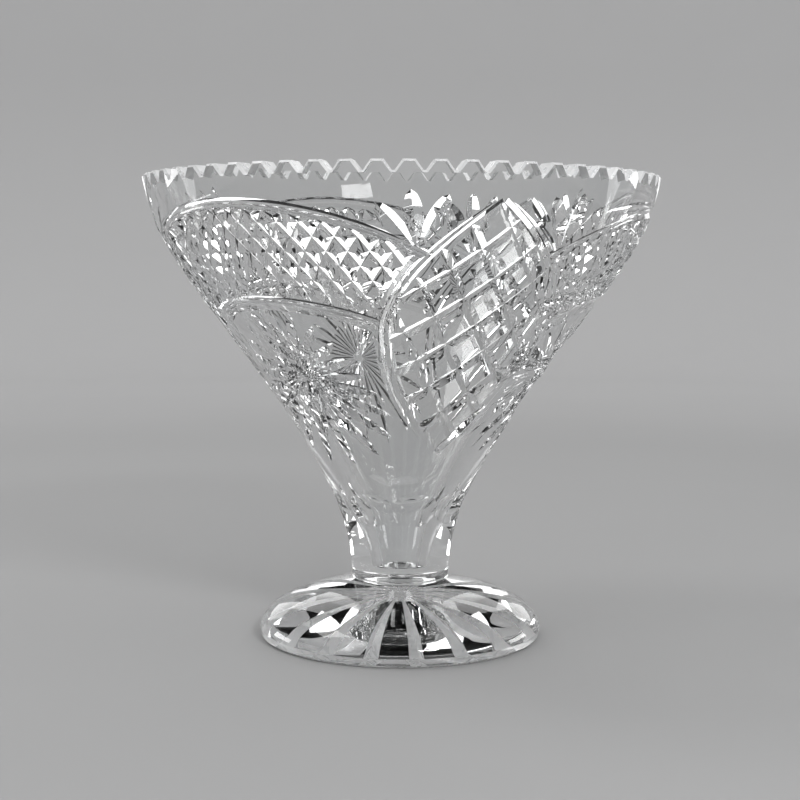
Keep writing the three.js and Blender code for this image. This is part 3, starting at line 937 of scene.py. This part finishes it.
def make_camera():
    data = bpy.data.cameras.new("camera")
    data.lens = CAMERA_LENS
    data.sensor_width = CAMERA_SENSOR
    data.clip_start = CAMERA_NEAR
    camera = bpy.data.objects.new("camera", data)
    bpy.context.scene.collection.objects.link(camera)
    tilt = Matrix.Rotation(math.pi / 2 - CAMERA_PITCH, 4, "X") @ Matrix.Rotation(CAMERA_ROLL, 4, "Z")
    camera.matrix_world = Matrix.Translation(CAMERA_PLACE) @ tilt
    bpy.context.scene.camera = camera


def studio_material():
    """Paper that is a little darker on the floor, so that floor and wall look alike."""
    paper = Material("studio_paper")
    paper.set("Roughness", PAPER_ROUGHNESS)
    paper.set("Specular IOR Level", PAPER_SPECULAR)
    distance = paper.nodes.new("ShaderNodeVectorMath")
    distance.operation = "LENGTH"
    paper.links.new(paper.place, distance.inputs[0])
    away = distance.outputs["Value"]
    rise = paper.mapped(away, FLOOR_SHADE_END, WALL_SHADE_START, interpolation="SMOOTHSTEP")
    grain = paper.noise(**PAPER_NOISE)
    blend = paper.nodes.new("ShaderNodeMix")
    blend.data_type = "RGBA"
    paper.links.new(rise, blend.inputs["Factor"])
    colour_inputs = [socket for socket in blend.inputs if socket.type == "RGBA"]
    for socket, shade in zip(colour_inputs, (FLOOR_SHADE, WALL_SHADE)):
        tints = [[shade * part for part in tint] for tint in PAPER_TINTS]
        paper.links.new(paper.tint(grain, tints), socket)
    paper.feed("Base Color", next(socket for socket in blend.outputs if socket.type == "RGBA"))
    return paper.material


def make_studio():
    """A round floor that curves up into a low wall all the way round."""
    angle = np.linspace(0, math.pi / 2, COVE_STEPS + 1)
    cove = np.stack([
        STUDIO_RADIUS - COVE_RADIUS + COVE_RADIUS * np.sin(angle),
        COVE_RADIUS * (1 - np.cos(angle)),
    ], 1)
    ring = np.concatenate([[(STUDIO_MIDDLE, 0)], cove, [(STUDIO_RADIUS, STUDIO_HEIGHT)]])
    turn = np.linspace(0, 2 * math.pi, STUDIO_STEPS, endpoint=False)
    points = [(0, 0, 0)]
    for radius, height in ring:
        points += [(radius * math.sin(a), -radius * math.cos(a), height) for a in turn]
    faces = []
    for i in range(len(turn)):
        j = (i + 1) % len(turn)
        faces.append((0, 1 + i, 1 + j))
        for k in range(len(ring) - 1):
            a, b = 1 + k * len(turn), 1 + (k + 1) * len(turn)
            faces.append((a + i, b + i, b + j, a + j))
    floor = mesh_object("studio_floor", np.array(points) - (0, 0, FLOOR_GAP), faces)
    floor.data.polygons.foreach_set("use_smooth", np.ones(len(faces), bool))
    floor.data.materials.append(studio_material())


def soft_box(name, place, target, width, height, power):
    data = bpy.data.lights.new(name, "AREA")
    data.shape = "RECTANGLE"
    data.size = width
    data.size_y = height
    data.energy = power
    lamp = bpy.data.objects.new(name, data)
    lamp.location = place
    lamp.rotation_mode = "QUATERNION"
    lamp.rotation_quaternion = (Vector(target) - Vector(place)).to_track_quat("-Z", "Y")
    lamp.visible_camera = False
    bpy.context.scene.collection.objects.link(lamp)
    return lamp


def make_world():
    """An even dome of light for the studio and the floor, above which the glass shows a dark ceiling."""
    world = bpy.data.worlds.new("studio")
    world.use_nodes = True
    bpy.context.scene.world = world
    nodes, links = world.node_tree.nodes, world.node_tree.links

    def math_node(operation, first, second):
        node = nodes.new("ShaderNodeMath")
        node.operation = operation
        links.new(first, node.inputs[0])
        if isinstance(second, float):
            node.inputs[1].default_value = second
        else:
            links.new(second, node.inputs[1])
        return node

    path = nodes.new("ShaderNodeLightPath").outputs
    seen = math_node("ADD", path["Is Camera Ray"], path["Is Glossy Ray"])
    through = math_node("ADD", seen.outputs[0], path["Is Transmission Ray"])
    through.use_clamp = True
    direct = math_node("LESS_THAN", path["Diffuse Depth"], 0.5)
    both = math_node("MULTIPLY", through.outputs[0], direct.outputs[0])
    axes = nodes.new("ShaderNodeSeparateXYZ")
    links.new(nodes.new("ShaderNodeTexCoord").outputs["Generated"], axes.inputs[0])
    ceiling = nodes.new("ShaderNodeMapRange")
    map_range(ceiling, CEILING_START, CEILING_END, CEILING_LOW_SHADE, CEILING_HIGH_SHADE, "SMOOTHSTEP")
    links.new(axes.outputs["Z"], ceiling.inputs["Value"])
    shade = nodes.new("ShaderNodeMapRange")
    shade.inputs["To Min"].default_value = DOME_LIGHT
    links.new(ceiling.outputs["Result"], shade.inputs["To Max"])
    links.new(both.outputs[0], shade.inputs["Value"])
    links.new(shade.outputs["Result"], nodes["Background"].inputs["Strength"])
    nodes["Background"].inputs["Color"].default_value = (1, 1, 1, 1)


def make_light():
    """Soft boxes round the bowl, of which the low ones leave no bright patch on the floor beside them."""
    for name, (turn, rise, distance, width, height, power) in SOFT_BOXES.items():
        away = Matrix.Rotation(math.radians(turn), 3, "Z") @ Matrix.Rotation(-math.radians(rise), 3, "X")
        place = away @ Vector((0, -distance, 0)) + Vector((0, 0, BOX_TARGET))
        lamp = soft_box(name, place, (0, 0, BOX_TARGET), width, height, power)
        lamp.visible_diffuse = rise > LOW_BOX_RISE


def set_render():
    scene = bpy.context.scene
    scene.view_settings.view_transform = "Standard"
    scene.cycles.max_bounces = 28
    scene.cycles.transmission_bounces = 28
    scene.cycles.glossy_bounces = 12
    scene.cycles.diffuse_bounces = 3


clear_scene()
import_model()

crystal_foot = make_foot()
crystal_bowl = make_bowl()
for piece, node in ((crystal_bowl, "bowl"), (crystal_foot, "foot")):
    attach(piece, "root")
    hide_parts(node)

make_studio()
make_world()
make_light()
make_camera()
set_render()
